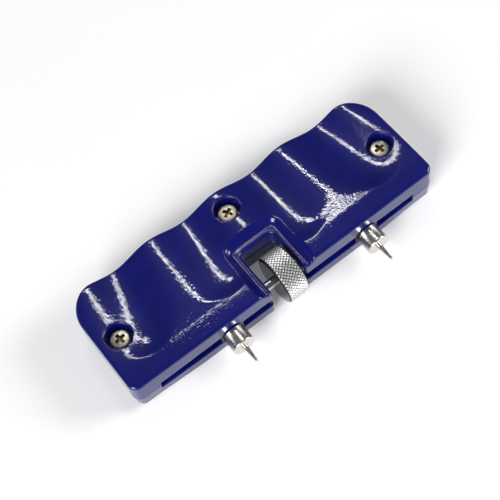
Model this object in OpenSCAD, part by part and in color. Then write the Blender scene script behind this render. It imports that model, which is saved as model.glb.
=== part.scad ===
// Adjustable two-pin case back opener: a two-part die-cast case holds a spindle with a left-hand and a
// right-hand thread. The knurled thumb wheel in the front notch turns it, and the two carriages with
// their chucks and pins move apart or together along the front slots.
// Frame: X along the case, -Y to the front (the pin side), +Z up, origin at the middle of the base face.

/* [Case] */
// Overall length of the case
case_length = 110; // [106:1:116]
// Depth of the case, front face to the crests of the back edge
case_depth = 36.8; // [36:0.2:40]
// Height of the case
case_height = 14.4; // [14.2:0.1:16]
// Height of the joint between the two shells
parting_z = 6.4; // [6.2:0.1:6.6]
// Radius of the two front corners, seen from above
front_corner_r = 3; // [2:0.5:4]
// Radius of the two back corners, seen from above
back_corner_r = 10; // [8:0.5:12]

/* [Finger grips] */
// Distance from one crest of the back edge to the next
grip_pitch = 24.6; // [24:0.2:25.4]
// How far the troughs of the back edge lie inside its crests
grip_wave = 0.9; // [0.4:0.1:1.2]
// Depth of a finger scoop in the top, at the back edge
scoop_depth = 1.5; // [0.8:0.1:1.6]
// Radius of the finger scoops
scoop_r = 28; // [24:1:34]
// Distance from the back edge at which a scoop runs out
scoop_run = 29; // [26:1:32]

/* [Notch] */
// Width of the notch for the thumb wheel
notch_width = 12; // [11.6:0.2:12.6]
// Distance from the front face to the back wall of the notch
notch_reach = 16.2; // [15.4:0.2:17]
// Depth of the ledge round the notch below the top
ledge_drop = 2.2; // [1.6:0.1:2.4]
// Width of the ledge
ledge_width = 2.2; // [1.6:0.1:2.6]
// Width of the sloped band outside the ledge
band_width = 2.1; // [1.4:0.1:2.4]

/* [Slots] */
// Height of the slots in the front face
slot_height = 3.6; // [3.4:0.1:3.8]
// Distance from the middle to the outer end of each slot
slot_end_x = 46.5; // [46:0.1:47]

/* [Drive] */
// Diameter of the thumb wheel
wheel_diameter = 16; // [15:0.2:16.2]
// Width of the thumb wheel
wheel_width = 7.2; // [6.8:0.1:7.4]
// Middle of the thumb wheel along the case
wheel_x = 1.5; // [1.3:0.1:1.6]
// Outer diameter of the spindle's threads
spindle_diameter = 3; // [2.8:0.1:3.2]

/* [Jaws] */
// Place of the left jaw along the case
left_jaw_x = -21; // [-30:0.5:-15]
// Place of the right jaw along the case
right_jaw_x = 28.7; // [15:0.1:36]
// Diameter of a chuck
chuck_diameter = 7.2; // [6.8:0.1:7.6]
// How far a chuck stands out of the front face
chuck_reach = 5.6; // [5:0.1:6.5]
// Length of a pin outside its chuck
pin_reach = 6; // [5:0.1:7]
// Diameter of a pin where it leaves its chuck
pin_root_d = 1.6; // [1.4:0.1:1.8]
// Diameter of a pin's straight tip
pin_tip_d = 0.9; // [0.8:0.05:1]

/* [Screws] */
// Distance from the middle to each end screw
end_screw_x = 48.1; // [47.6:0.1:48.4]
// Place of the end screws, front to back
end_screw_y = -1.2; // [-2:0.1:0]
// Place of the middle screw, front to back
mid_screw_y = 11.3; // [10.8:0.1:11.6]
// Diameter of the recess round a screw head
recess_diameter = 8.1; // [7.6:0.1:8.4]
// Diameter of a screw head
head_diameter = 6.2; // [5.6:0.1:6.4]

/* [Hidden] */
$fn = 64;

eps = 0.01;
past = 1;                       // how far a cutter runs past a face
enamel = "#1d2a9a";
nickel = "#c9c7c2";
steel = "#8f9296";
brass = "#b99a55";
zinc_gold = "#c8b26a";

front_y = -case_depth / 2;
back_y = case_depth / 2;
axis_z = parting_z;             // the spindle lies in the joint between the shells
axis_y = front_y + 5.2;
slot_low = axis_z - slot_height / 2;
slot_high = axis_z + slot_height / 2;

// the outer finger scoops fan out three times as much as the inner ones
scoop_fan = 5;

// notch and its sunken rim
notch_half = notch_width / 2;
notch_back = front_y + notch_reach;
ledge_z = case_height - ledge_drop;
ledge_half = notch_half + ledge_width;
ledge_back = notch_back + ledge_width;
notch_corner_r = 1.2;

// carriage channel inside the shells, and the weight-saving pockets behind it
inner_wall = 2;
channel_half_y = 3.2;
channel_half_z = 4.2;
channel_in = notch_half + inner_wall;
channel_out = slot_end_x;
pocket_front = -6.4;
pocket_back = 14.2;
pocket_in = 8;
pocket_out = 41.5;
pocket_low = 2;
pocket_high = 11;
pocket_corner_r = 3;

// spindle, bushes and clips
thread_r = spindle_diameter / 2;
journal_r = 1.2;
bush_r = 2.6;
bush_length = 3;
bush_seat_x = channel_out;
clip_gap = 0.4;
clip_x = bush_seat_x + bush_length + clip_gap;
clip_thickness = 0.6;
clip_r = 2.4;
clip_groove = 0.3;
clip_clearance = 0.4;
spindle_tail = 0.5;
spindle_end = clip_x + clip_thickness + spindle_tail;
end_pocket_out = spindle_end + spindle_tail;
thread_margin = 1;
running_gap = 0.05;
saddle_r = thread_r + 0.35;
wheel_bevel = 0.7;
washer_r = 3;
washer_gap = 0.1;

// carriages, chucks and pins
carriage_length = 8;
carriage_gap = 0.2;
tongue_gap = 0.15;
stud_r = 1.5;
stud_hole_depth = 3;
chuck_gap = 0.2;
chuck_chamfer = 0.3;
pin_socket_depth = 4;
press_gap = 0.02;
pin_end_gap = 0.1;
pin_shoulder = 0.2;
tip_length = 1.5;

// case screws
head_seat_z = case_height - 4.4;
head_height = 1.9;
screw_r = 1.5;
screw_bottom = 1.6;
screw_end_gap = 0.2;
screw_clearance = 0.3;
head_fillet = 0.9;
head_turn = 1.5;                // turns each cross recess to its own angle, in degrees per mm along X
cross_span = 3.6;
cross_arm = 0.9;
cross_depth = 1.4;
SCREW_SPOTS = [[-end_screw_x, end_screw_y], [0, mid_screw_y], [end_screw_x, end_screw_y]];

// a box from one corner to the other
module span(low, high) {
    translate(low) cube(high - low);
}

// a cylinder along X between two places
module rod_x(x0, x1, r, y = axis_y, z = axis_z) {
    translate([x0, y, z]) rotate([0, 90, 0]) cylinder(h = x1 - x0, r = r);
}

// distance of the back edge from the middle, at x
function back_edge(x) = back_y - grip_wave * (1 - cos(360 * x / grip_pitch)) / 2;

// outline of the case seen from above: rounded corners, a straight front and a waved back
module case_outline() {
    half = case_length / 2;
    steps = 110;
    intersection() {
        union() {
            translate([-half + back_corner_r, front_y])
                square([case_length - 2 * back_corner_r, case_depth]);
            translate([-half, front_y + front_corner_r])
                square([case_length, case_depth - front_corner_r - back_corner_r]);
            for (side = [-1, 1]) {
                translate([side * (half - back_corner_r), back_y - back_corner_r]) circle(back_corner_r);
                translate([side * (half - front_corner_r), front_y + front_corner_r])
                    circle(front_corner_r);
                translate([side * (half - (front_corner_r + back_corner_r) / 2), front_y + case_depth / 4])
                    square([back_corner_r - front_corner_r, case_depth / 2], center = true);
            }
            translate([-half + front_corner_r, front_y])
                square([case_length - 2 * front_corner_r, case_depth / 2]);
        }
        polygon(concat([[-half - past, front_y - past]],
                       [for (i = [0:steps]) let (x = -half - past + i * (case_length + 2 * past) / steps)
                           [x, back_edge(x)]],
                       [[half + past, front_y - past]]));
    }
}

// shallow troughs for the fingers, fanned a little, deepest at the back edge
module finger_scoops() {
    tilt = atan(scoop_depth / scoop_run);
    for (side = [-1, 1], step = [0.5, 1.5])
        translate([side * step * grip_pitch, back_y, case_height - scoop_depth + scoop_r])
            rotate([0, 0, side * step * scoop_fan])
                rotate([90 - tilt, 0, 0]) translate([0, 0, -back_corner_r])
                    cylinder(h = case_depth + 2 * back_corner_r, r = scoop_r, $fn = 180);
}

// the notch through the front, with rounded inner corners
module notch(low, high) {
    translate([0, 0, low]) linear_extrude(high - low) union() {
        translate([-notch_half, front_y - past]) square([notch_width, notch_reach + past - notch_corner_r]);
        translate([-notch_half + notch_corner_r, front_y])
            square([notch_width - 2 * notch_corner_r, notch_reach]);
        for (side = [-1, 1])
            translate([side * (notch_half - notch_corner_r), notch_back - notch_corner_r])
                circle(notch_corner_r);
    }
}

// the sunken rim round the notch: a flat ledge inside a sloped band
module notch_rim() {
    rise = ledge_drop + past;
    spread = band_width * rise / ledge_drop;
    intersection() {
        translate([0, back_y, ledge_z]) rotate([90, 0, 0]) linear_extrude(case_depth + past)
            polygon([[-ledge_half, 0], [ledge_half, 0],
                     [ledge_half + spread, rise], [-ledge_half - spread, rise]]);
        translate([-case_length / 2, 0, ledge_z]) rotate([90, 0, 90]) linear_extrude(case_length)
            polygon([[front_y - past, 0], [ledge_back, 0],
                     [ledge_back + spread, rise], [front_y - past, rise]]);
    }
}

// everything hollow that the joint between the shells cuts in two
module inner_space() {
    for (side = [-1, 1]) mirror([side < 0 ? 1 : 0, 0, 0]) {
        // carriage channel
        span([channel_in, axis_y - channel_half_y, axis_z - channel_half_z],
             [channel_out, axis_y + channel_half_y, axis_z + channel_half_z]);
        // slot through the front wall, open into the notch
        span([notch_half - past, front_y - past, slot_low],
             [slot_end_x, axis_y - channel_half_y + eps, slot_high]);
        // saddle for the spindle through the wall beside the notch
        rod_x(notch_half - past, channel_in + past, saddle_r);
        // bush seat and clip pocket at the outer end
        rod_x(bush_seat_x - eps, bush_seat_x + bush_length, bush_r + press_gap);
        rod_x(bush_seat_x + bush_length - eps, end_pocket_out, clip_r + clip_clearance);
        // weight-saving pocket behind the channel
        translate([0, 0, pocket_low]) linear_extrude(pocket_high - pocket_low) union() {
            translate([pocket_in + pocket_corner_r, pocket_front])
                square([pocket_out - pocket_in - 2 * pocket_corner_r, pocket_back - pocket_front]);
            translate([pocket_in, pocket_front + pocket_corner_r])
                square([pocket_out - pocket_in, pocket_back - pocket_front - 2 * pocket_corner_r]);
            for (x = [pocket_in + pocket_corner_r, pocket_out - pocket_corner_r],
                 y = [pocket_front + pocket_corner_r, pocket_back - pocket_corner_r])
                translate([x, y]) circle(pocket_corner_r);
        }
    }
}

module upper_shell() {
    color(enamel) difference() {
        translate([0, 0, parting_z]) linear_extrude(case_height - parting_z) case_outline();
        inner_space();
        finger_scoops();
        notch(parting_z - past, case_height + past);
        notch_rim();
        for (spot = SCREW_SPOTS) translate([spot.x, spot.y, 0]) {
            translate([0, 0, head_seat_z]) cylinder(h = case_height, d = recess_diameter);
            translate([0, 0, parting_z - past]) cylinder(h = case_height, r = screw_r + screw_clearance);
        }
    }
}

module lower_shell() {
    color(enamel) difference() {
        linear_extrude(parting_z) case_outline();
        inner_space();
        notch(-past, parting_z + past);
        for (spot = SCREW_SPOTS) translate([spot.x, spot.y, screw_bottom - screw_end_gap])
            cylinder(h = case_height, r = screw_r + press_gap);
    }
}

// pan head with a cross recess, on a plain shank
module cross_head_screw() {
    difference() {
        union() {
            translate([0, 0, screw_bottom]) cylinder(h = head_seat_z - screw_bottom, r = screw_r);
            translate([0, 0, head_seat_z]) rotate_extrude()
                polygon(concat([[0, 0], [head_diameter / 2, 0]],
                               [for (a = [0:15:90]) [head_diameter / 2 - head_fillet * (1 - cos(a)),
                                                     head_height - head_fillet * (1 - sin(a))]],
                               [[0, head_height]]));
        }
        for (turn = [0, 90]) rotate(turn)
            translate([-cross_span / 2, -cross_arm / 2, head_seat_z + head_height - cross_depth])
                cube([cross_span, cross_arm, cross_depth + past]);
    }
}

module case_screws() {
    color(zinc_gold) for (spot = SCREW_SPOTS)
        translate([spot.x, spot.y, 0]) rotate(spot.x * head_turn) cross_head_screw();
}

// bush that carries one end of the spindle
module end_bush(side) {
    color(brass) mirror([side < 0 ? 1 : 0, 0, 0]) difference() {
        rod_x(bush_seat_x, bush_seat_x + bush_length, bush_r);
        rod_x(bush_seat_x - past, bush_seat_x + bush_length + past, journal_r + running_gap);
    }
}
module end_bush_left() { end_bush(-1); }
module end_bush_right() { end_bush(1); }

// threaded over both carriage runs, with a plain journal at each end
module spindle() {
    color(steel) {
        rod_x(-channel_out + thread_margin, channel_out - thread_margin, thread_r);
        for (side = [-1, 1]) mirror([side < 0 ? 1 : 0, 0, 0]) difference() {
            rod_x(channel_out - thread_margin - eps, spindle_end, journal_r);
            difference() {
                rod_x(clip_x, clip_x + clip_thickness, journal_r + past);
                rod_x(clip_x - past, clip_x + clip_thickness + past, journal_r - clip_groove);
            }
        }
    }
}

module thumb_wheel() {
    r = wheel_diameter / 2;
    bore = thread_r + press_gap;
    color(nickel) translate([wheel_x - wheel_width / 2, axis_y, axis_z]) rotate([0, 90, 0])
        rotate_extrude($fn = 96)
            polygon([[bore, 0], [r - wheel_bevel, 0], [r, wheel_bevel], [r, wheel_width - wheel_bevel],
                     [r - wheel_bevel, wheel_width], [bore, wheel_width]]);
}

// washer that takes the wheel's thrust against the wall of the notch
module thrust_washer() {
    wheel_face = wheel_x + wheel_width / 2;
    color(steel) difference() {
        rod_x(wheel_face + washer_gap, notch_half - washer_gap, washer_r);
        rod_x(wheel_face - past, notch_half + past, thread_r + washer_gap);
    }
}

// spring clip that snaps into the groove at the end of the spindle
module retaining_clip(side) {
    inner_r = journal_r - clip_groove + press_gap;
    color(steel) mirror([side < 0 ? 1 : 0, 0, 0]) difference() {
        rod_x(clip_x + running_gap, clip_x + clip_thickness - running_gap, clip_r);
        rod_x(clip_x - past, clip_x + clip_thickness + past, inner_r);
        span([clip_x - past, axis_y - inner_r, axis_z],
             [clip_x + clip_thickness + past, axis_y + inner_r, axis_z + clip_r + past]);
    }
}
module retaining_clip_left() { retaining_clip(-1); }
module retaining_clip_right() { retaining_clip(1); }

// block that runs on the spindle's thread, with a tongue that fills the slot behind its chuck
module carriage(x) {
    half_y = channel_half_y - carriage_gap;
    half_z = channel_half_z - carriage_gap;
    tongue_half_z = slot_height / 2 - tongue_gap;
    color(steel) difference() {
        union() {
            span([x - carriage_length / 2, axis_y - half_y, axis_z - half_z],
                 [x + carriage_length / 2, axis_y + half_y, axis_z + half_z]);
            span([x - carriage_length / 2, front_y + chuck_gap, axis_z - tongue_half_z],
                 [x + carriage_length / 2, axis_y, axis_z + tongue_half_z]);
        }
        rod_x(x - carriage_length, x + carriage_length, thread_r + running_gap);
        translate([x, front_y + chuck_gap + stud_hole_depth, axis_z]) rotate([90, 0, 0])
            cylinder(h = stud_hole_depth + past, r = stud_r + press_gap);
    }
}
module carriage_left() { carriage(left_jaw_x); }
module carriage_right() { carriage(right_jaw_x); }

// turned chuck with a stud at the back and a socket for its pin at the front
module chuck(x) {
    r = chuck_diameter / 2;
    body = chuck_reach - chuck_gap;
    stud = stud_hole_depth + chuck_gap;
    color(nickel) translate([x, front_y - chuck_gap, axis_z]) rotate([90, 0, 0]) difference() {
        rotate_extrude() polygon([[0, -stud], [stud_r, -stud], [stud_r, 0], [r - chuck_chamfer, 0],
                                  [r, chuck_chamfer], [r, body - chuck_chamfer], [r - chuck_chamfer, body],
                                  [0, body]]);
        translate([0, 0, body - pin_socket_depth])
            cylinder(h = pin_socket_depth + past, d = pin_root_d + 2 * press_gap);
    }
}
module chuck_left() { chuck(left_jaw_x); }
module chuck_right() { chuck(right_jaw_x); }

// tapered pin with a short straight tip and a rounded end
module pin(x) {
    tip_r = pin_tip_d / 2;
    root_r = pin_root_d / 2;
    color(nickel) translate([x, front_y - chuck_reach, axis_z]) rotate([90, 0, 0]) rotate_extrude()
        polygon(concat([[0, pin_end_gap - pin_socket_depth], [root_r, pin_end_gap - pin_socket_depth],
                        [root_r, pin_shoulder], [tip_r, pin_reach - tip_length]],
                       [for (a = [0:18:90]) [tip_r * cos(a), pin_reach - tip_r + tip_r * sin(a)]]));
}
module pin_left() { pin(left_jaw_x); }
module pin_right() { pin(right_jaw_x); }

upper_shell();
lower_shell();
case_screws();
end_bush_left();
end_bush_right();
spindle();
thumb_wheel();
thrust_washer();
retaining_clip_left();
retaining_clip_right();
carriage_left();
carriage_right();
chuck_left();
chuck_right();
pin_left();
pin_right();
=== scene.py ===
"""Looks of the adjustable two-pin case back opener: shells, wheel, spindle, chucks, pins and screws.

Sizes are in millimetres inside the shape functions and in metres in Blender, in the CAD model's frame:
X along the case, -Y to the front, +Z up, origin in the middle of the base face.
"""

import math

import bmesh
import bpy
import numpy as np
from mathutils import Matrix, Vector

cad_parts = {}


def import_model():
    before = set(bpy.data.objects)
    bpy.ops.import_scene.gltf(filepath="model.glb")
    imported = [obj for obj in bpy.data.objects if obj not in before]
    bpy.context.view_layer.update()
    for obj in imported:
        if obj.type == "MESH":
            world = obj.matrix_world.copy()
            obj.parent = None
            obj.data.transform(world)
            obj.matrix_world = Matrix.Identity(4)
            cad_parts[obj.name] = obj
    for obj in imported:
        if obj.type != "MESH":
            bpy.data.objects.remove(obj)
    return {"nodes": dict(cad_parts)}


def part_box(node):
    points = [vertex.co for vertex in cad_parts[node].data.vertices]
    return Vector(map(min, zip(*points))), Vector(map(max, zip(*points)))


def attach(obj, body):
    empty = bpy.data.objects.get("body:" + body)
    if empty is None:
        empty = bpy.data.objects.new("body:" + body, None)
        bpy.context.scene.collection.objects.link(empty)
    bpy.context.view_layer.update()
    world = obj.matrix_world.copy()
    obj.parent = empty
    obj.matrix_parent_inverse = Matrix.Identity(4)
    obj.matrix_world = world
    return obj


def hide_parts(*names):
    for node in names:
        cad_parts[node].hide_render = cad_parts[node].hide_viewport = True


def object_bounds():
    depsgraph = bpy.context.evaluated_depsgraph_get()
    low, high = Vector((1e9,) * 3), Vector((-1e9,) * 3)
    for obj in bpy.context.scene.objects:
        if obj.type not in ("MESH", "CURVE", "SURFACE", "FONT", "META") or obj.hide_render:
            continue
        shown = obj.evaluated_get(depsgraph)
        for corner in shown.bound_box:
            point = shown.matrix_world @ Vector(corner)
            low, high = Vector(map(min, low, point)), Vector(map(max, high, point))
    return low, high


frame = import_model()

CAD_BOX = [[float(c) for c in corner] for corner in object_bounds()]
MM = 0.001


def node_box(name):
    """Lowest and highest corner of a CAD node, in millimetres."""
    low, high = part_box(name)
    return np.array(low) / MM, np.array(high) / MM


# ---------------------------------------------------------------- driving sizes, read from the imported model
case_low, case_high = node_box("upper_shell")
HALF_LENGTH = case_high[0]
FRONT_Y = case_low[1]
BACK_Y = case_high[1]
PARTING_Z = case_low[2]
TOP_Z = case_high[2]
wheel_low, wheel_high = node_box("thumb_wheel")
WHEEL_R = (wheel_high[2] - wheel_low[2]) / 2
AXIS_Y = (wheel_low[1] + wheel_high[1]) / 2
AXIS_Z = (wheel_low[2] + wheel_high[2]) / 2
chuck_boxes = {side: node_box(f"chuck_{side}") for side in ("left", "right")}
pin_boxes = {side: node_box(f"pin_{side}") for side in ("left", "right")}
screws_low, screws_high = node_box("case_screws")
END_SCREW_X = 48.1
SCREW_HEAD_R = (screws_high[0] - screws_low[0] - 2 * END_SCREW_X) / 2
SCREW_SPOTS = [(-END_SCREW_X, -1.2), (0.0, 11.3), (END_SCREW_X, -1.2)]

# ---------------------------------------------------------------- sizes that no node's box gives
# waved back edge and outline
GRIP_PITCH = 24.6
GRIP_WAVE = 0.9
GRIP_START_Y = -4.0
GRIP_RUN = 12.0
BACK_CORNER_R = 10.0
FRONT_CORNER_R = 3.0
TOP_EDGE_R = 0.9
BASE_EDGE_R = 1.3
# draft of the two ends, the lower shell's step in at the parting line, and the gap there
DRAFT_START_X = 30.0
DRAFT_RUN = 20.0
UPPER_DRAFT = 0.02
LOWER_DRAFT = 0.09
LOWER_STEP = 0.15
PARTING_GAP = 0.04
PARTING_EDGE_R = 0.3
# finger scoops, and the apron in front of them
SCOOP_DEPTH = 1.5
SCOOP_END_Y = -13.0
SCOOP_END_ROUND = 4.5
SCOOP_FAN = 0.0045
RUN_IN = 0.75
RUN_IN_LENGTH = 3.4
RUN_IN_POWER = 1.5
APRON_START_Y = SCOOP_END_Y + 1.2
APRON_SLOPE = 0.065
APRON_BEND = 1.5
# notch for the wheel, and the sunken ledge round it
NOTCH_HALF = 6.0
NOTCH_BACK = FRONT_Y + 16.2
NOTCH_CORNER_R = 1.7
NOTCH_EDGE_R = 1.0
LEDGE_Z = TOP_Z - 2.2
LEDGE_WIDTH = 2.2
LEDGE_CORNER_R = 1.6
LEDGE_FILLET_R = 0.6
LEDGE_EDGE_R = 0.4
BAND_SLOPE = 0.95
LIP = 0.2
# slots and the spaces inside
SLOT_HALF = 1.8
SLOT_END = 46.5
SLOT_EDGE_R = 0.25
INNER_WALL = 2.0
CHANNEL_HALF_Y = 3.2
CHANNEL_HALF_Z = 4.2
WALL_BORE_R = 1.85
BUSH_SEAT_R = 2.62
BUSH_SEAT_DEPTH = 5.2
POCKET_LOW = (8.0, -6.4)
POCKET_HIGH = (41.5, 14.2)
POCKET_CORNER_R = 3.0
POCKET_FLOOR_Z = 2.0
POCKET_ROOF_Z = 11.0
# screws
HEAD_SEAT_Z = TOP_Z - 4.4
HEAD_HEIGHT = 1.9
HEAD_EDGE_R = 0.6
HEAD_DOME_DROP = 12.0
SHANK_R = 1.5
SHANK_END_Z = 1.7 - HEAD_SEAT_Z
CROSS_REACH = 1.75
CROSS_HALF_WIDTH = 0.52
CROSS_DEPTH = 1.25
CROSS_END_TAPER = 0.35
CROSS_SIDE_TAPER = 0.10
CROSS_EDGE_R = 0.08
SCREW_TURNS = (8, 30, 8)
RECESS_R = 4.05
RECESS_EDGE_R = 0.4
SCREW_HOLE_R = 1.56
SCREW_HOLE_END_Z = 1.4
# spindle
SHAFT_R = 1.5
# how far a cut runs past a face, and out through the front
PAST = 1.0
FAR = 10.0


# ---------------------------------------------------------------- signed distances
def round_max(a, b, r):
    """Where both solids are, with the edge between them rounded to radius r."""
    u = np.maximum(a + r, 0.0)
    v = np.maximum(b + r, 0.0)
    return np.minimum(-r, np.maximum(a, b)) + np.sqrt(u * u + v * v)


def cut(solid, tool, r=0.0):
    """The solid without the tool, its new edges rounded to radius r."""
    return round_max(solid, -tool, r) if r else np.maximum(solid, -tool)


def box_sdf(p, low, high):
    low, high = np.array(low, dtype=float), np.array(high, dtype=float)
    centre, half = (low + high) / 2, (high - low) / 2
    q = [np.abs(p[i] - centre[i]) - half[i] for i in range(3)]
    outside = np.sqrt(sum(np.maximum(c, 0.0) ** 2 for c in q))
    return outside + np.minimum(np.maximum(np.maximum(q[0], q[1]), q[2]), 0.0)


def plan_rect(x, y, low, high, r):
    """Rectangle with round corners in the XY plane; r is a radius or an array of radii."""
    cx, cy = (low[0] + high[0]) / 2, (low[1] + high[1]) / 2
    qx = np.abs(x - cx) - (high[0] - low[0]) / 2 + r
    qy = np.abs(y - cy) - (high[1] - low[1]) / 2 + r
    return np.sqrt(np.maximum(qx, 0) ** 2 + np.maximum(qy, 0) ** 2) + np.minimum(np.maximum(qx, qy), 0) - r


def rod_x_sdf(p, r, x_low, x_high):
    """A round rod on the spindle's axis."""
    radial = np.sqrt((p[1] - AXIS_Y) ** 2 + (p[2] - AXIS_Z) ** 2) - r
    return np.maximum(radial, np.maximum(x_low - p[0], p[0] - x_high))


def smoothstep(t):
    t = np.clip(t, 0.0, 1.0)
    return t * t * (3 - 2 * t)


# ---------------------------------------------------------------- the case
def apron(y):
    """How far the top falls away in front of the scoops."""
    ahead = np.clip(APRON_START_Y - y, 0.0, None)
    return APRON_SLOPE * ahead * ahead / (ahead + APRON_BEND)


def scoop(x, y):
    """Depth of the top below its highest level: waves across, a short run-in and a long slope along them."""
    u = x / (1 + SCOOP_FAN * (BACK_Y - y))
    across = 0.5 - 0.5 * np.cos(2 * np.pi * u / GRIP_PITCH)
    start = SCOOP_END_Y + SCOOP_END_ROUND * (1 - across)
    along = np.clip(y - start, 0.0, None)
    slope = (SCOOP_DEPTH - RUN_IN) / (BACK_Y - SCOOP_END_Y)
    run_in = RUN_IN * (1 - np.exp(-((along / RUN_IN_LENGTH) ** RUN_IN_POWER)))
    return across * (slope * along + run_in) + apron(y)


def closed_case(x, y, z):
    """The closed case before anything is cut out of it."""
    ax = np.abs(x)
    wave = GRIP_WAVE * 0.5 * (1 - np.cos(2 * np.pi * x / GRIP_PITCH))
    wave = wave * smoothstep((y - GRIP_START_Y) / GRIP_RUN)
    corner = np.where(y > 0, BACK_CORNER_R, FRONT_CORNER_R)
    side = plan_rect(ax, y + wave, (-HALF_LENGTH, FRONT_Y), (HALF_LENGTH, BACK_Y), corner)
    below = LOWER_STEP + LOWER_DRAFT * (PARTING_Z - z)
    draft = np.where(z < PARTING_Z, below, UPPER_DRAFT * (z - PARTING_Z))
    side = side + draft * smoothstep((ax - DRAFT_START_X) / DRAFT_RUN)
    body = round_max(side, z - (TOP_Z - scoop(x, y)), TOP_EDGE_R)
    return round_max(body, -z, BASE_EDGE_R)


def cut_notch(body, x, y, z):
    """Takes away the wheel's notch and the sunken ledge with its slanted band."""
    notch = plan_rect(x, y, (-NOTCH_HALF, FRONT_Y - FAR), (NOTCH_HALF, NOTCH_BACK), NOTCH_CORNER_R)
    rise = z - LEDGE_Z - LIP * (1 - np.clip(notch / LEDGE_WIDTH, 0.0, 1.0))
    half = NOTCH_HALF + LEDGE_WIDTH
    ledge = plan_rect(x, y, (-half, FRONT_Y - FAR), (half, NOTCH_BACK + LEDGE_WIDTH), LEDGE_CORNER_R)
    band = (ledge - np.maximum(rise, 0) * BAND_SLOPE) / math.sqrt(1 + BAND_SLOPE**2)
    body = cut(body, round_max(band, -rise, LEDGE_FILLET_R), LEDGE_EDGE_R)
    return cut(body, notch, NOTCH_EDGE_R)


def cut_screw_holes(body, x, y, z):
    """Takes away the round recesses for the screw heads and the holes for the shanks."""
    for sx, sy in SCREW_SPOTS:
        radial = np.sqrt((x - sx) ** 2 + (y - sy) ** 2)
        body = cut(body, np.maximum(radial - RECESS_R, HEAD_SEAT_Z - z), RECESS_EDGE_R)
        body = cut(body, np.maximum(radial - SCREW_HOLE_R, SCREW_HOLE_END_Z - z))
    return body


def cut_inside(body, x, y, z):
    """Takes away the front slots, the carriages' channels, the bores, the bushes' seats and the pockets."""
    p = (np.abs(x), y, z)
    slot_low = (NOTCH_HALF - INNER_WALL, FRONT_Y - FAR, AXIS_Z - SLOT_HALF)
    slot_high = (SLOT_END, AXIS_Y, AXIS_Z + SLOT_HALF)
    body = cut(body, box_sdf(p, slot_low, slot_high), SLOT_EDGE_R)
    channel_low = (NOTCH_HALF + INNER_WALL, AXIS_Y - CHANNEL_HALF_Y, AXIS_Z - CHANNEL_HALF_Z)
    channel_high = (SLOT_END, AXIS_Y + CHANNEL_HALF_Y, AXIS_Z + CHANNEL_HALF_Z)
    body = cut(body, box_sdf(p, channel_low, channel_high))
    body = cut(body, rod_x_sdf(p, WALL_BORE_R, NOTCH_HALF - PAST, NOTCH_HALF + INNER_WALL + PAST))
    body = cut(body, rod_x_sdf(p, BUSH_SEAT_R, SLOT_END - 0.1, SLOT_END + BUSH_SEAT_DEPTH))
    pocket = plan_rect(p[0], y, POCKET_LOW, POCKET_HIGH, POCKET_CORNER_R)
    return cut(body, np.maximum(pocket, np.maximum(POCKET_FLOOR_Z - z, z - POCKET_ROOF_Z)))


def case_sdf(p):
    """Both shells closed together, with everything that is cut out of them."""
    body = closed_case(*p)
    body = cut_notch(body, *p)
    body = cut_screw_holes(body, *p)
    return cut_inside(body, *p)


def upper_sdf(p):
    return round_max(case_sdf(p), PARTING_Z + PARTING_GAP - p[2], PARTING_EDGE_R)


def lower_sdf(p):
    return round_max(case_sdf(p), p[2] - PARTING_Z + PARTING_GAP, PARTING_EDGE_R)


# ---------------------------------------------------------------- meshes from signed distances
def gradient(sdf, points, h=0.02):
    g = np.empty_like(points)
    for axis in range(3):
        d = np.zeros(3)
        d[axis] = h
        g[:, axis] = sdf((points + d).T) - sdf((points - d).T)
    return g / (2 * h)


CELL_CORNERS = [(i, j, k) for i in (0, 1) for j in (0, 1) for k in (0, 1)]


def corner_of(array, corner):
    """The array's values at one corner of every cell of the grid."""
    return array[tuple(slice(corner[a], array.shape[a] - 1 + corner[a]) for a in range(3))]


def crossing_points(values, mixed):
    """For each mixed cell the mean of the points where its edges cross the surface, counted in cells."""
    cells = np.argwhere(mixed)
    places = np.zeros((len(cells), 3))
    hits = np.zeros(len(cells))
    for a in CELL_CORNERS:
        for axis in range(3):
            if a[axis]:
                continue
            b = tuple(a[i] + (i == axis) for i in range(3))
            va = corner_of(values, a)[mixed]
            vb = corner_of(values, b)[mixed]
            crossing = (va < 0) != (vb < 0)
            t = np.where(crossing, va / np.where(crossing, va - vb, 1.0), 0.0)
            point = np.tile(np.array(a, float), (len(cells), 1))
            point[:, axis] = t
            places += point * crossing[:, None]
            hits += crossing
    return cells + places / hits[:, None]


def settle(sdf, points, step):
    """Four Newton steps towards the surface, none longer than half a cell."""
    for _ in range(4):
        g = gradient(sdf, points)
        move = g * (sdf(points.T) / np.maximum((g * g).sum(1), 0.25))[:, None]
        length = np.linalg.norm(move, axis=1, keepdims=True)
        points = points - move * np.minimum(1.0, 0.5 * step / np.maximum(length, 1e-9))
    return points


def cell_quads(inside, index):
    """One quad for each grid edge that passes through the surface, between the four cells round it."""
    quads = []
    for axis in range(3):
        u, v = (axis + 1) % 3, (axis + 2) % 3
        start = [slice(None)] * 3
        end = [slice(None)] * 3
        start[axis], end[axis] = slice(0, -1), slice(1, None)
        first, second = inside[tuple(start)], inside[tuple(end)]
        for flipped, (p0, p1) in enumerate(((first, second), (second, first))):
            edges = np.argwhere(p0 & ~p1)
            edges = edges[(edges[:, u] > 0) & (edges[:, v] > 0)]
            edges = edges[(edges[:, u] < index.shape[u]) & (edges[:, v] < index.shape[v])]
            ring = []
            for du, dv in ((1, 1), (0, 1), (0, 0), (1, 0)):
                cell = edges.copy()
                cell[:, u] -= du
                cell[:, v] -= dv
                ring.append(index[tuple(cell.T)])
            ring = np.stack(ring, 1)
            quads.append(ring[:, ::-1] if flipped else ring)
    return np.concatenate(quads)


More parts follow.
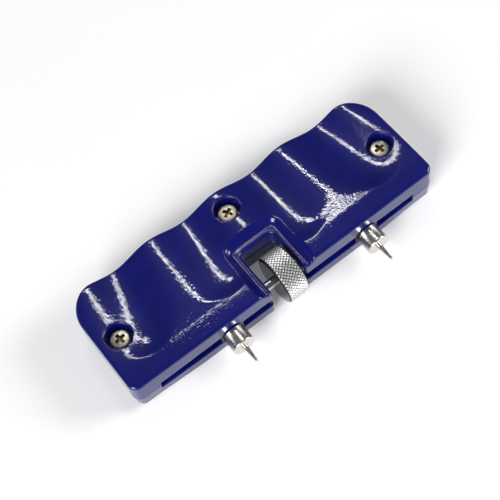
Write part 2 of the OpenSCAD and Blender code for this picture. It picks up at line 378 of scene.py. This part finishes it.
def surface_net(sdf, low, high, step):
    """Vertices, quads and normals of the surface where the signed distance is zero."""
    low, high = np.array(low, float), np.array(high, float)
    counts = np.ceil((high - low) / step).astype(int) + 1
    axes = [low[i] + step * np.arange(counts[i]) for i in range(3)]
    values = sdf(tuple(np.meshgrid(*axes, indexing="ij")))
    inside = values < 0
    total = sum(corner_of(inside, c).astype(np.int8) for c in CELL_CORNERS)
    mixed = (total > 0) & (total < 8)
    index = np.full(mixed.shape, -1, dtype=np.int64)
    index[mixed] = np.arange(mixed.sum())
    points = settle(sdf, low + step * crossing_points(values, mixed), step)
    return points, cell_quads(inside, index), gradient(sdf, points)


def add_mesh(name, points, faces, normals=None):
    """A smooth-shaded object from points in millimetres."""
    mesh = bpy.data.meshes.new(name)
    mesh.from_pydata((points * MM).tolist(), [], faces)
    mesh.polygons.foreach_set("use_smooth", [True] * len(mesh.polygons))
    mesh.update()
    if normals is not None:
        normals = normals / np.maximum(np.linalg.norm(normals, axis=1, keepdims=True), 1e-9)
        mesh.normals_split_custom_set_from_vertices(normals.tolist())
    piece = bpy.data.objects.new(name, mesh)
    bpy.context.scene.collection.objects.link(piece)
    return piece


def turned(name, profile, segments, place):
    """A solid of revolution: profile is (along, radius) pairs, and place maps (along, u, v) to the frame."""
    bm = bmesh.new()
    rings = []
    for along, radius in profile:
        if radius < 1e-6:
            rings.append([bm.verts.new(place(along, 0.0, 0.0))])
            continue
        rings.append([
            bm.verts.new(place(along, radius * math.cos(a), radius * math.sin(a)))
            for a in (2 * math.pi * i / segments for i in range(segments))
        ])
    for ring, after in zip(rings, rings[1:]):
        for i in range(segments):
            j = (i + 1) % segments
            near = [ring[i % len(ring)], ring[j % len(ring)]]
            far = [after[j % len(after)], after[i % len(after)]]
            unique = list(dict.fromkeys(near + far))
            if len(unique) > 2:
                bm.faces.new(unique)
    bmesh.ops.recalc_face_normals(bm, faces=bm.faces)
    mesh = bpy.data.meshes.new(name)
    bm.to_mesh(mesh)
    bm.free()
    mesh.polygons.foreach_set("use_smooth", [True] * len(mesh.polygons))
    piece = bpy.data.objects.new(name, mesh)
    bpy.context.scene.collection.objects.link(piece)
    return piece


def keep_edges(piece, angle=35):
    """Shade smooth except over edges sharper than the angle."""
    mesh = piece.data
    bm = bmesh.new()
    bm.from_mesh(mesh)
    for edge in bm.edges:
        edge.smooth = edge.calc_face_angle(0.0) < math.radians(angle)
    bm.to_mesh(mesh)
    bm.free()


# ---------------------------------------------------------------- materials
class Shader:
    """A small helper that adds nodes to a material."""

    def __init__(self, name):
        self.material = bpy.data.materials.new(name)
        self.material.use_nodes = True
        self.tree = self.material.node_tree
        self.bsdf = self.tree.nodes["Principled BSDF"]
        self.place = self.node("ShaderNodeTexCoord").outputs["Object"]

    def node(self, kind, **settings):
        made = self.tree.nodes.new(kind)
        for key, value in settings.items():
            setattr(made, key, value)
        return made

    def link(self, out, into):
        self.tree.links.new(out, into)

    def noise(self, scale, detail=3.0, roughness=0.5, stretch=None):
        made = self.node("ShaderNodeTexNoise")
        made.inputs["Scale"].default_value = scale
        made.inputs["Detail"].default_value = detail
        made.inputs["Roughness"].default_value = roughness
        if stretch is None:
            self.link(self.place, made.inputs["Vector"])
        else:
            mapping = self.node("ShaderNodeMapping")
            mapping.inputs["Scale"].default_value = stretch
            self.link(self.place, mapping.inputs["Vector"])
            self.link(mapping.outputs["Vector"], made.inputs["Vector"])
        return made.outputs["Fac"]

    def ramp(self, factor, low, high, start=0.3, end=0.7):
        made = self.node("ShaderNodeValToRGB")
        made.color_ramp.elements[0].position = start
        made.color_ramp.elements[1].position = end
        made.color_ramp.elements[0].color = (*low, 1)
        made.color_ramp.elements[1].color = (*high, 1)
        self.link(factor, made.inputs["Fac"])
        return made.outputs["Color"]

    def spread(self, factor, low, high):
        made = self.node("ShaderNodeMapRange")
        made.inputs["To Min"].default_value = low
        made.inputs["To Max"].default_value = high
        self.link(factor, made.inputs["Value"])
        return made.outputs["Result"]

    def bump(self, height, strength, distance, before=None):
        made = self.node("ShaderNodeBump")
        made.inputs["Strength"].default_value = strength
        made.inputs["Distance"].default_value = distance
        self.link(height, made.inputs["Height"])
        if before is not None:
            self.link(before, made.inputs["Normal"])
        return made.outputs["Normal"]

    def set(self, **values):
        names = {"base": "Base Color", "rough": "Roughness", "metal": "Metallic", "coat": "Coat Weight",
                 "coat_rough": "Coat Roughness", "coat_ior": "Coat IOR", "ior": "IOR", "normal": "Normal",
                 "coat_normal": "Coat Normal", "specular": "Specular IOR Level", "glow": "Emission Color",
                 "glow_strength": "Emission Strength"}
        for key, value in values.items():
            socket = self.bsdf.inputs[names[key]]
            if isinstance(value, bpy.types.NodeSocket):
                self.link(value, socket)
            else:
                socket.default_value = (*value, 1) if isinstance(value, tuple) else value
        return self


def enamel():
    """Thick royal-blue stove enamel over cast metal: glossy, with a faint orange peel."""
    s = Shader("blue_enamel")
    colour = s.ramp(s.noise(90, 3), (0.0022, 0.0040, 0.098), (0.0040, 0.0064, 0.128))
    peel = s.bump(s.noise(1000, 2, 0.6), 0.5, 0.00005)
    cast = s.bump(s.noise(120, 1, 0.4), 0.5, 0.00005, peel)
    s.set(base=colour, rough=s.spread(s.noise(600, 2), 0.25, 0.35), coat=1.0, coat_rough=0.03, coat_ior=1.46,
          normal=cast, coat_normal=cast, specular=0.1)
    return s.material


def metal(name, low, high, rough_low, rough_high, turning=None):
    """Bare or plated metal, with fine turning marks where an axis for them is given."""
    s = Shader(name)
    colour = s.ramp(s.noise(500, 3), low, high)
    stretch = {"x": (9000, 150, 150), "y": (150, 9000, 150)}.get(turning)
    marks = s.noise(1.0, 2, 0.6, stretch) if stretch else s.noise(1800, 3)
    s.set(base=colour, metal=1.0, rough=s.spread(marks, rough_low, rough_high),
          normal=s.bump(marks, 0.12 if turning else 0.05, 0.00003))
    return s.material


def knurled_nickel_painted_groove_shade():
    """Nickel plate with painted shade: dark down in the grooves, bright on the diamonds' tops."""
    groove_floor = 0.30
    crest = 0.06
    s = Shader("knurl_nickel_painted_groove_shade")
    from_axis = s.node("ShaderNodeVectorMath", operation="SUBTRACT")
    from_axis.inputs[1].default_value = (0.0, AXIS_Y * MM, AXIS_Z * MM)
    flat = s.node("ShaderNodeVectorMath", operation="MULTIPLY")
    flat.inputs[1].default_value = (0.0, 1.0, 1.0)
    length = s.node("ShaderNodeVectorMath", operation="LENGTH")
    s.link(s.place, from_axis.inputs[0])
    s.link(from_axis.outputs[0], flat.inputs[0])
    s.link(flat.outputs[0], length.inputs[0])
    height = s.node("ShaderNodeMapRange")
    height.inputs["From Min"].default_value = (WHEEL_R - groove_floor) * MM
    height.inputs["From Max"].default_value = (WHEEL_R - crest) * MM
    s.link(length.outputs["Value"], height.inputs["Value"])
    grain = s.noise(1800, 3)
    # painted shade: the base colour darkens with depth into the knurl's grooves
    s.set(base=s.ramp(height.outputs["Result"], (0.05, 0.05, 0.05), (0.72, 0.72, 0.71), 0.0, 0.8), metal=1.0,
          rough=s.spread(grain, 0.40, 0.55), normal=s.bump(grain, 0.05, 0.00003))
    return s.material


def plated_screw():
    """Yellow-passivated zinc: bright, with a patchy straw tint."""
    s = Shader("yellow_zinc")
    colour = s.ramp(s.noise(900, 3, 0.6), (0.80, 0.70, 0.46), (0.98, 0.94, 0.82), 0.35, 0.65)
    s.set(base=colour, metal=1.0, rough=s.spread(s.noise(1500, 3), 0.30, 0.44),
          normal=s.bump(s.noise(2500, 2), 0.10, 0.00003))
    return s.material


# ---------------------------------------------------------------- pieces
def shells(material):
    step = 0.4
    margin = 1.0
    halves = (("upper_case", upper_sdf, PARTING_Z, TOP_Z), ("lower_case", lower_sdf, 0.0, PARTING_Z))
    for name, sdf, z_low, z_high in halves:
        low = (-HALF_LENGTH - margin, FRONT_Y - margin, z_low - margin)
        high = (HALF_LENGTH + margin, BACK_Y + margin, z_high + margin)
        points, faces, normals = surface_net(sdf, low, high, step)
        piece = add_mesh(name, points, faces.tolist(), normals)
        piece.data.materials.append(material)
        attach(piece, "case")
        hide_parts("upper_shell" if name == "upper_case" else "lower_shell")


def screw_sdf(p):
    """Pan head with a cross recess on a plain shank, its seat at z = 0."""
    x, y, z = p
    radial = np.sqrt(x * x + y * y)
    dome = np.sqrt(radial**2 + (z + HEAD_DOME_DROP) ** 2) - (HEAD_DOME_DROP + HEAD_HEIGHT)
    solid = round_max(np.maximum(radial - SCREW_HEAD_R, -z), dome, HEAD_EDGE_R)
    rise = z - HEAD_HEIGHT
    for a, b in ((x, y), (y, x)):
        length = np.abs(a) - CROSS_REACH - CROSS_END_TAPER * rise
        width = np.abs(b) - CROSS_HALF_WIDTH - CROSS_SIDE_TAPER * rise
        arm = np.maximum(np.maximum(length, width), -CROSS_DEPTH - rise)
        solid = cut(solid, arm, CROSS_EDGE_R)
    shank = np.maximum(radial - SHANK_R, np.maximum(SHANK_END_Z - z, z - 0.5))
    return np.minimum(solid, shank)


def recess_faces(points, faces):
    """Tells which faces of a screw lie down in its cross: open above, near the middle and below the top."""
    middle = points[faces].mean(1)
    radial = np.hypot(middle[:, 0], middle[:, 1])
    height = middle[:, 2]
    open_above = screw_sdf(middle.T + np.array([[0], [0], [0.25]])) > 0
    return open_above & (radial < CROSS_REACH + 0.25) & (height > 0) & (height < HEAD_HEIGHT - 0.3)


def case_screws(material, recess_material):
    """One screw made once and set in three places, each turned its own way."""
    step = 0.11
    reach = SCREW_HEAD_R + 0.4
    low = (-reach, -reach, SHANK_END_Z - 0.4)
    points, faces, normals = surface_net(screw_sdf, low, (reach, reach, HEAD_HEIGHT + 0.5), step)
    all_points, all_faces, all_normals = [], [], []
    for i, ((sx, sy), turn) in enumerate(zip(SCREW_SPOTS, SCREW_TURNS)):
        c, s = math.cos(math.radians(turn)), math.sin(math.radians(turn))
        spin = np.array([[c, s, 0], [-s, c, 0], [0, 0, 1]])
        all_points.append(points @ spin + np.array([sx, sy, HEAD_SEAT_Z]))
        all_normals.append(normals @ spin)
        all_faces.append(faces + i * len(points))
    piece = add_mesh("cross_head_screws", np.concatenate(all_points), np.concatenate(all_faces).tolist(),
                     np.concatenate(all_normals))
    piece.data.materials.append(material)
    piece.data.materials.append(recess_material)
    kinds = np.tile(recess_faces(points, faces), len(SCREW_SPOTS)).astype(np.int32)
    piece.data.polygons.foreach_set("material_index", kinds)
    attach(piece, "case")
    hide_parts("case_screws")


def ring_points(x, radius, angle):
    """A ring of points round the spindle's axis; radius is one number or one for each angle."""
    y = AXIS_Y + radius * np.cos(angle)
    z = AXIS_Z + radius * np.sin(angle)
    return np.stack([np.full(len(angle), x), y, z], 1)


def thumb_wheel(rim_material, shaded_face_material):
    """Bevelled wheel with a diamond knurl: pyramids between two crossing families of grooves."""
    x0, x1 = wheel_low[0], wheel_high[0]
    bevel = 0.55
    bevel_slope = 0.9
    bore = 1.52
    hub = WHEEL_R - bevel - 1.4
    face_r = WHEEL_R - bevel - 0.04
    inset = 0.03
    groove_depth = 0.34
    groove_share = 0.5
    diamonds = 42
    around = diamonds * 14
    across = 76
    lead = 2 * math.pi * WHEEL_R / diamonds
    rings = [(x0, bore), (x0, hub), (x0, face_r)]
    first = len(rings)
    rings += [(x0 + inset + (x1 - x0 - 2 * inset) * i / across, WHEEL_R) for i in range(across + 1)]
    last = len(rings) - 1
    rings += [(x1, face_r), (x1, hub), (x1, bore)]
    angle = 2 * np.pi * np.arange(around) / around
    points = []
    for k, (x, radius) in enumerate(rings):
        if first <= k <= last:
            a = (angle * WHEEL_R / lead + (x - x0) / lead) % 1.0
            b = (angle * WHEEL_R / lead - (x - x0) / lead) % 1.0
            ridge = np.minimum(1 - np.abs(2 * a - 1), 1 - np.abs(2 * b - 1))
            chamfer = WHEEL_R - bevel + min(x - x0, x1 - x) * bevel_slope
            knurl = WHEEL_R - groove_depth * (1 - np.minimum(ridge / groove_share, 1.0))
            radius = np.minimum(knurl, chamfer)
        points.append(ring_points(x, radius, angle))
    faces, kinds = [], []
    for k in range(len(rings)):
        after = (k + 1) % len(rings)
        for i in range(around):
            j = (i + 1) % around
            faces.append((k * around + i, k * around + j, after * around + j, after * around + i))
            kinds.append(0 if first <= k < last else 1)
    piece = add_mesh("knurled_wheel", np.concatenate(points), faces)
    bm = bmesh.new()
    bm.from_mesh(piece.data)
    bmesh.ops.recalc_face_normals(bm, faces=bm.faces)
    bm.to_mesh(piece.data)
    bm.free()
    # the flat faces take the darker nickel, which is painted shade
    piece.data.materials.append(rim_material)
    piece.data.materials.append(shaded_face_material)
    piece.data.polygons.foreach_set("material_index", kinds)
    keep_edges(piece, 28)
    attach(piece, "drive")
    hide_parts("thumb_wheel")


def spindle(material):
    """Rod with a left-hand thread on one half and a right-hand thread on the other."""
    low, high = node_box("spindle")
    pitch = 1.0
    depth = 0.3
    flank = 1.3
    crest = 0.15
    journal_r = 1.2
    plain = NOTCH_HALF + 1.5
    threaded = SLOT_END - 1.0
    segments = 32
    step = pitch / 10
    count = int(round((high[0] - low[0]) / step))
    angle = 2 * np.pi * np.arange(segments) / segments
    rows = []
    for x in np.linspace(low[0], high[0], count + 1):
        radius = SHAFT_R
        if abs(x) > threaded:
            radius = journal_r
        elif abs(x) >= plain:
            hand = 1 if x > 0 else -1
            phase = (x / pitch - hand * angle / (2 * np.pi)) % 1.0
            radius = SHAFT_R - depth * np.clip(np.abs(2 * phase - 1) * flank - crest, 0, 1)
        rows.append(ring_points(x, radius, angle))
    ends = np.array([[low[0], AXIS_Y, AXIS_Z], [high[0], AXIS_Y, AXIS_Z]])
    faces = []
    for k in range(count):
        row = k * segments
        after = row + segments
        for i in range(segments):
            j = (i + 1) % segments
            faces.append((row + i, after + i, after + j, row + j))
    left_end = (count + 1) * segments
    for i in range(segments):
        j = (i + 1) % segments
        faces.append((left_end, i, j))
        faces.append((left_end + 1, count * segments + j, count * segments + i))
    piece = add_mesh("threaded_spindle", np.concatenate([*rows, ends]), faces)
    piece.data.materials.append(material)
    keep_edges(piece, 50)
    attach(piece, "drive")
    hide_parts("spindle")


def arc(steps):
    """Angles from 0 to a quarter turn."""
    return [math.pi / 2 * i / steps for i in range(steps + 1)]


def chuck_profile(r, back, stud_end):
    """The chuck from the bottom of its socket out over the rounded front edge to the end of its stud."""
    edge = 0.28
    chamfer = 0.2
    lead_in = 0.12
    socket_r = 0.82
    socket_depth = 4.0
    stud_r = 1.5
    profile = [(socket_depth, 0.0), (socket_depth, socket_r), (lead_in, socket_r), (0.0, socket_r + lead_in)]
    profile += [(0.0, r * 0.5), (0.0, r - edge - 0.02)]
    profile += [(edge * (1 - math.sin(a)), r - edge * (1 - math.cos(a))) for a in reversed(arc(4))]
    profile += [(edge + 0.05, r), (back - chamfer - 0.1, r), (back - chamfer, r), (back, r - chamfer)]
    return profile + [(back, stud_r), (stud_end, stud_r), (stud_end, 0.0)]


def pin_profile(root_r, root_end, reach):
    """The pin from its root in the socket along the taper to the rounded tip."""
    tip_r = 0.45
    neck = 0.2
    taper = reach - 1.5 - neck
    taper_steps = 6
    profile = [(root_end, 0.0), (root_end, root_r), (0.0, root_r), (-neck, root_r)]
    for i in range(1, taper_steps + 1):
        profile.append((-neck - taper * i / taper_steps, root_r + (tip_r - root_r) * i / taper_steps))
    return profile + [(-(reach - tip_r + tip_r * math.sin(a)), tip_r * math.cos(a)) for a in arc(8)]


def chuck_and_pin(side, chuck_material, pin_material):
    """The pieces of one jaw that stand out of the slot, measured along Y from the chuck's front."""
    low, high = chuck_boxes[side]
    pin_low, pin_high = pin_boxes[side]
    x = (low[0] + high[0]) / 2
    z = (low[2] + high[2]) / 2

    def place(along, u, v):
        return Vector(((x + u) * MM, (low[1] + along) * MM, (z + v) * MM))

    profile = chuck_profile((high[0] - low[0]) / 2, FRONT_Y - 0.2 - low[1], high[1] - low[1])
    piece = turned(f"chuck_body_{side}", profile, 96, place)
    piece.data.materials.append(chuck_material)
    keep_edges(piece, 40)
    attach(piece, f"{side}_jaw")
    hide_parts(f"chuck_{side}")

    profile = pin_profile((pin_high[0] - pin_low[0]) / 2, pin_high[1] - low[1], low[1] - pin_low[1])
    piece = turned(f"pin_bit_{side}", profile, 48, place)
    piece.data.materials.append(pin_material)
    keep_edges(piece, 40)
    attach(piece, f"{side}_jaw")
    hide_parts(f"pin_{side}")


def dress(node, material):
    """Gives a CAD node that stays in view its procedural material."""
    for material_slot in frame["nodes"][node].material_slots:
        material_slot.material = material


# ---------------------------------------------------------------- camera and light
def place_by_axes(made, right, up, back, place):
    """Turns an object so that its own axes point along the three given ones, and sets it in its place."""
    made.matrix_world = Matrix((
        (right.x, up.x, back.x, place.x),
        (right.y, up.y, back.y, place.y),
        (right.z, up.z, back.z, place.z),
        (0, 0, 0, 1),
    ))
    bpy.context.scene.collection.objects.link(made)


def camera():
    """The photo's view: from above, a little left of the front, with the camera rolled to the right."""
    azimuth = math.radians(24.31)
    elevation = math.radians(62.35)
    roll = math.radians(14.52)
    distance = 0.3748
    aim = Vector((-0.0014, -0.0007, 0.007))
    data = bpy.data.cameras.new("camera")
    data.lens = 91.06
    data.sensor_width = 36.0
    data.clip_start = 0.01
    data.clip_end = 10.0
    ahead = math.cos(elevation)
    forward = Vector((ahead * math.sin(azimuth), ahead * math.cos(azimuth), -math.sin(elevation)))
    level = Vector((math.cos(azimuth), -math.sin(azimuth), 0.0))
    up = level.cross(forward) * math.cos(roll) + level * math.sin(roll)
    made = bpy.data.objects.new("camera", data)
    place_by_axes(made, forward.cross(up), up, -forward, aim - forward * distance)
    bpy.context.scene.camera = made


def soft_box(name, direction, distance, width, length, radiance, long_axis=(0, 0, 1), shift=0.0):
    """A rectangular lamp facing the tool, given by its direction, size and brightness."""
    data = bpy.data.lights.new(name, "AREA")
    data.shape = "RECTANGLE"
    data.size = width
    data.size_y = length
    data.energy = radiance * math.pi * width * length
    made = bpy.data.objects.new(name, data)
    back = Vector(direction).normalized()
    across = Vector(long_axis).cross(back).normalized()
    place_by_axes(made, across, back.cross(across), back, back * distance + across * shift)


def world():
    """A dim room around the table."""
    made = bpy.data.worlds.new("studio")
    made.use_nodes = True
    made.node_tree.nodes["Background"].inputs["Color"].default_value = (0.11, 0.11, 0.12, 1)
    bpy.context.scene.world = made


def floor():
    """White paper on a light table: it shows only a faint shadow."""
    size = 1.5
    level = CAD_BOX[0][2] - 0.0001
    s = Shader("paper")
    tone = s.ramp(s.noise(6, 2), (0.84, 0.84, 0.84), (0.87, 0.87, 0.87))
    s.set(base=tone, rough=0.9, specular=0.1, glow=(1.0, 1.0, 1.0), glow_strength=0.13)
    mesh = bpy.data.meshes.new("floor")
    corners = [(-size, -size, level), (size, -size, level), (size, size, level), (-size, size, level)]
    mesh.from_pydata(corners, [], [(0, 1, 2, 3)])
    made = bpy.data.objects.new("floor", mesh)
    made.data.materials.append(s.material)
    bpy.context.scene.collection.objects.link(made)


def lights():
    """Tubes draw the lines on the scoops, short bars the streaks at their ends, boxes light the sides."""
    high = 1.5
    tube_side = (0.197, 0.472, 0.860)
    tube_slant = (0.68, -0.70, 0.23)
    tube_gap = 0.013
    for i in range(3):
        soft_box(f"tube_{i}", tube_side, high, 0.007, 0.44, 60, tube_slant, (i - 1) * tube_gap)
    bar_gap = 0.033
    for i in range(5):
        soft_box(f"comb_{i}", (0.10 + bar_gap * i, 0.345, 0.927), high, 0.013, 0.08, 32, (0, -0.93, 0.35))
    soft_box("left_box", (-0.74, -0.40, 0.54), 1.2, 0.6, 0.6, 13.5)
    soft_box("right_box", (0.80, -0.35, 0.49), 1.2, 0.6, 0.6, 9.5)


blue = enamel()
knurl_metal = knurled_nickel_painted_groove_shade()
# painted shade: the wheel's flat faces get a far darker copy of the rim's nickel
shaded_face_metal = metal("wheel_face_nickel_painted_shade", (0.17, 0.17, 0.19), (0.25, 0.25, 0.27), 0.14, 0.26, "x")
chuck_metal = metal("chuck_nickel", (0.66, 0.62, 0.56), (0.76, 0.72, 0.66), 0.22, 0.34, "y")
pin_metal = metal("pin_steel", (0.44, 0.425, 0.39), (0.54, 0.52, 0.48), 0.22, 0.34, "y")
steel = metal("bright_steel", (0.42, 0.43, 0.44), (0.55, 0.56, 0.57), 0.22, 0.38, "x")
dark_steel = metal("dark_steel", (0.05, 0.05, 0.055), (0.09, 0.09, 0.10), 0.35, 0.5, "x")
brass = metal("bush_brass", (0.60, 0.44, 0.20), (0.72, 0.56, 0.28), 0.22, 0.36, "x")
zinc = plated_screw()
recess_shade = metal("cross_recess_shade", (0.16, 0.12, 0.07), (0.30, 0.23, 0.14), 0.35, 0.5)

shells(blue)
case_screws(zinc, recess_shade)
thumb_wheel(knurl_metal, shaded_face_metal)
spindle(steel)
for jaw_side in ("left", "right"):
    chuck_and_pin(jaw_side, chuck_metal, pin_metal)
    dress(f"carriage_{jaw_side}", dark_steel)
    dress(f"end_bush_{jaw_side}", brass)
    dress(f"retaining_clip_{jaw_side}", steel)
dress("thrust_washer", steel)

camera()
world()
floor()
lights()
bpy.context.scene.view_settings.view_transform = "Standard"
